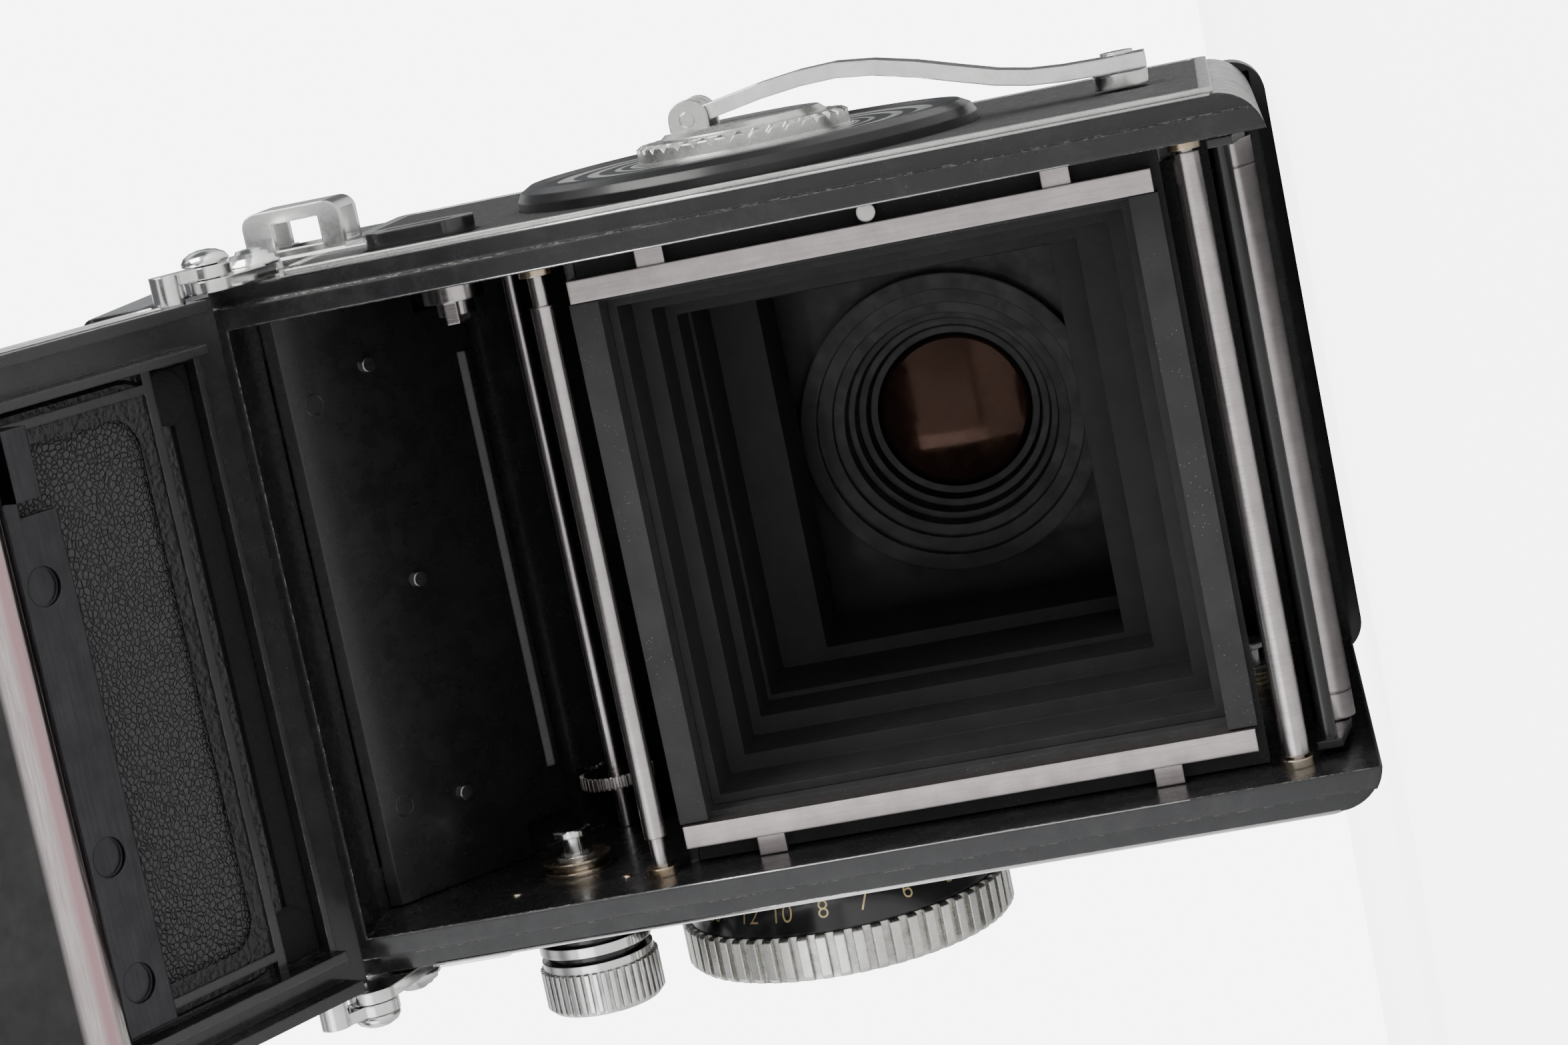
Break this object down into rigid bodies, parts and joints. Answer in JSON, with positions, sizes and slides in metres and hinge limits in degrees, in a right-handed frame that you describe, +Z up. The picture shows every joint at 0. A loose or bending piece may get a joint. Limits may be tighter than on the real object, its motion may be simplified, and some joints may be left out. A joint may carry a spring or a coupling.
{
  "type": "twin lens reflex camera",
  "caption": "Twin lens reflex roll-film camera with its back swung open, showing the film gate, rails and rollers; side crank, focusing knob, folding hood and two lenses on a sliding panel.",
  "frame": {"origin": "on the base plane of the body, under the lens axes, midway between the body's front and rear faces", "axes": "+Z up, -Y towards the subject along the lens axes, +Y towards the open back, +X towards the focusing knob side"},
  "size_m": [0.0952, 0.2248, 0.17],
  "materials": {
    "black_enamel": "satin black enamel, edges worn bright",
    "matt_black": "matt black anti-reflection paint",
    "black_leather": "pebbled black covering",
    "chrome": "polished chrome",
    "satin_chrome": "satin chrome",
    "rail_aluminium": "ground aluminium",
    "roller_steel": "polished steel",
    "bush_brass": "plain brass",
    "mirror_glass": "front silvered",
    "screen_glass": "ground glass",
    "coated_glass": "amber coated lens glass",
    "knurled_aluminium": "coarse cut aluminium",
    "black_plastic": "black",
    "grey_steel": "dark brushed steel"
  },
  "bodies": {
    "camera_body": {"body_casting": "black_enamel", "takeup_chamber_wall": "matt_black", "film_gate_frame": "matt_black", "film_rails": "rail_aluminium", "light_tunnel": "matt_black", "leatherette_crank": "black_leather", "leatherette_focus": "black_leather", "trim_strips": "satin_chrome", "roller_bushings": "bush_brass", "reflex_mirror": "mirror_glass", "focusing_screen": "screen_glass", "hood_frame": "black_enamel", "front_nameplate": "satin_chrome", "chamber_screws": "roller_steel", "crank_dial_ring": "black_enamel", "counter_window": "black_plastic", "strap_lugs": "chrome", "hinge_cheeks": "chrome", "hinge_pins": "chrome", "supply_pivot": "roller_steel"},
    "upper_roller": {"upper_film_roller": "roller_steel"},
    "lower_roller": {"gate_roller": "roller_steel"},
    "feeler_arms": {"feeler_bracket": "grey_steel"},
    "feeler": {"feeler_roller": "roller_steel"},
    "transfer": {"transfer_shaft": "roller_steel"},
    "takeup_drive": {"takeup_drive_key": "roller_steel"},
    "takeup_pin": {"takeup_knob": "knurled_aluminium"},
    "supply_pin": {"supply_knob": "knurled_aluminium"},
    "reminder_dial": {"speed_reminder_dial": "satin_chrome"},
    "crank": {"crank_hub": "satin_chrome"},
    "crank_lever": {"crank_arm": "chrome"},
    "crank_grip": {"crank_handle": "chrome"},
    "focusing": {"focus_knob": "knurled_aluminium", "focus_dial": "black_enamel"},
    "lens_standard": {"lens_panel": "black_enamel", "panel_guide_rods": "roller_steel", "shutter_housing": "satin_chrome", "taking_lens_barrel": "black_enamel", "taking_lens_glass": "coated_glass", "viewing_lens_barrel": "black_enamel", "viewing_lens_glass": "coated_glass", "flash_socket": "satin_chrome", "peep_window_cap": "black_enamel"},
    "aperture_control": {"aperture_wheel": "knurled_aluminium"},
    "speed_control": {"speed_wheel": "knurled_aluminium"},
    "release": {"shutter_release": "satin_chrome"},
    "back": {"back_cover": "black_enamel", "back_hinge_ears": "chrome", "leatherette_back": "black_leather", "pressure_plate_base": "grey_steel", "tripod_socket": "satin_chrome", "feet": "black_plastic"},
    "pressure": {"pressure_plate": "matt_black"},
    "latch": {"back_latch": "satin_chrome"},
    "hood_top": {"hood_lid": "black_enamel"},
    "leaf_crank_side": {"hood_leaf_crank": "black_enamel"},
    "leaf_focus_side": {"hood_leaf_focus": "black_enamel"},
    "leaf_rear": {"hood_leaf_back": "black_enamel"},
    "magnifier": {"magnifier_frame": "black_enamel", "magnifier_lens": "screen_glass"}
  },
  "joints": [
    {"name": "back_hinge", "type": "hinge", "parent": "camera_body", "child": "back", "pos_m": [0, 0.0365, 0.1085], "axis": [1, 0, 0], "range_deg": [-122, 0]},
    {"name": "upper_roller_spin", "type": "hinge", "parent": "camera_body", "child": "upper_roller", "pos_m": [0, 0.028, 0.0768], "axis": [1, 0, 0], "continuous": true},
    {"name": "gate_roller_spin", "type": "hinge", "parent": "camera_body", "child": "lower_roller", "pos_m": [0, 0.028, 0.0085], "axis": [1, 0, 0], "continuous": true},
    {"name": "feeler_swing", "type": "hinge", "parent": "camera_body", "child": "feeler_arms", "pos_m": [0, 0.028, 0.0085], "axis": [-1, 0, 0], "range_deg": [0, 7], "stiffness_Nm_per_rad": 0.05, "springref_deg": -5.73},
    {"name": "feeler_roller_spin", "type": "hinge", "parent": "feeler_arms", "child": "feeler", "pos_m": [0, 0.016, 0.0039], "axis": [1, 0, 0], "continuous": true},
    {"name": "crank_turn", "type": "hinge", "parent": "camera_body", "child": "crank", "pos_m": [0, 0.004, 0.0555], "axis": [1, 0, 0], "range_deg": [-120, 140]},
    {"name": "crank_fold", "type": "hinge", "parent": "crank", "child": "crank_lever", "pos_m": [-0.0442, 0.004, 0.0605], "axis": [0, 1, 0], "range_deg": [0, 170]},
    {"name": "crank_grip_spin", "type": "hinge", "parent": "crank_lever", "child": "crank_grip", "pos_m": [-0.04, 0.004, 0.014], "axis": [1, 0, 0], "continuous": true},
    {"name": "takeup_drive_turn", "type": "hinge", "parent": "camera_body", "child": "takeup_drive", "pos_m": [-0.032, 0.0195, 0.0875], "axis": [1, 0, 0], "range_deg": [-120, 140]},
    {"name": "transfer_turn", "type": "hinge", "parent": "camera_body", "child": "transfer", "pos_m": [0, 0.0026, 0.0846], "axis": [1, 0, 0], "range_deg": [-400, 400]},
    {"name": "takeup_knob_pull", "type": "slide", "parent": "camera_body", "child": "takeup_pin", "axis": [1, 0, 0], "range_m": [0, 0.0055]},
    {"name": "supply_knob_pull", "type": "slide", "parent": "camera_body", "child": "supply_pin", "axis": [1, 0, 0], "range_m": [0, 0.0055]},
    {"name": "reminder_dial_turn", "type": "hinge", "parent": "camera_body", "child": "reminder_dial", "pos_m": [-0.04, 0.004, 0.0555], "axis": [1, 0, 0], "continuous": true},
    {"name": "focus_turn", "type": "hinge", "parent": "camera_body", "child": "focusing", "pos_m": [0.042, 0.01, 0.0606], "axis": [1, 0, 0], "range_deg": [0, 270]},
    {"name": "standard_slide", "type": "slide", "parent": "camera_body", "child": "lens_standard", "axis": [0, -1, 0], "range_m": [0, 0.007]},
    {"name": "aperture_wheel_turn", "type": "hinge", "parent": "lens_standard", "child": "aperture_control", "pos_m": [-0.0185, -0.044, 0.064], "axis": [0, 1, 0], "range_deg": [0, 200]},
    {"name": "speed_wheel_turn", "type": "hinge", "parent": "lens_standard", "child": "speed_control", "pos_m": [0.0185, -0.044, 0.064], "axis": [0, 1, 0], "range_deg": [0, 240]},
    {"name": "release_press", "type": "slide", "parent": "lens_standard", "child": "release", "axis": [0, 1, 0], "range_m": [0, 0.003], "stiffness_N_per_m": 200, "springref_m": -0.001},
    {"name": "pressure_plate_spring", "type": "slide", "parent": "back", "child": "pressure", "axis": [0, -0.5299, 0.848], "range_m": [0, 0.0012], "stiffness_N_per_m": 600, "springref_m": -0.001},
    {"name": "latch_turn", "type": "hinge", "parent": "back", "child": "latch", "pos_m": [0, 0.14845, 0.14013], "axis": [0, -0.848, -0.5299], "range_deg": [0, 70]},
    {"name": "hood_lid_open", "type": "hinge", "parent": "camera_body", "child": "hood_top", "pos_m": [0, -0.0346, 0.1166], "axis": [1, 0, 0], "range_deg": [0, 90]},
    {"name": "hood_leaf_crank_fold", "type": "hinge", "parent": "camera_body", "child": "leaf_crank_side", "pos_m": [-0.0309, 0, 0.11725], "axis": [0, -1, 0], "range_deg": [0, 90]},
    {"name": "hood_leaf_focus_fold", "type": "hinge", "parent": "camera_body", "child": "leaf_focus_side", "pos_m": [0.0309, 0, 0.11725], "axis": [0, 1, 0], "range_deg": [0, 90]},
    {"name": "hood_leaf_back_fold", "type": "hinge", "parent": "camera_body", "child": "leaf_rear", "pos_m": [0, 0.0222, 0.11725], "axis": [-1, 0, 0], "range_deg": [0, 90]},
    {"name": "magnifier_swing", "type": "hinge", "parent": "hood_top", "child": "magnifier", "pos_m": [0, -0.0026, 0.121], "axis": [-1, 0, 0], "range_deg": [0, 90]}
  ],
  "couplings": [
    {"joint": "takeup_drive_turn", "follows": "crank_turn", "ratio": 1},
    {"joint": "transfer_turn", "follows": "crank_turn", "ratio": -2},
    {"joint": "focus_turn", "follows": "standard_slide", "rad_per_m": 673},
    {"joint": "hood_leaf_crank_fold", "follows": "hood_lid_open", "ratio": 1},
    {"joint": "hood_leaf_focus_fold", "follows": "hood_lid_open", "ratio": 1},
    {"joint": "hood_leaf_back_fold", "follows": "hood_lid_open", "ratio": 1},
    {"joint": "magnifier_swing", "follows": "hood_lid_open", "ratio": 1}
  ]
}
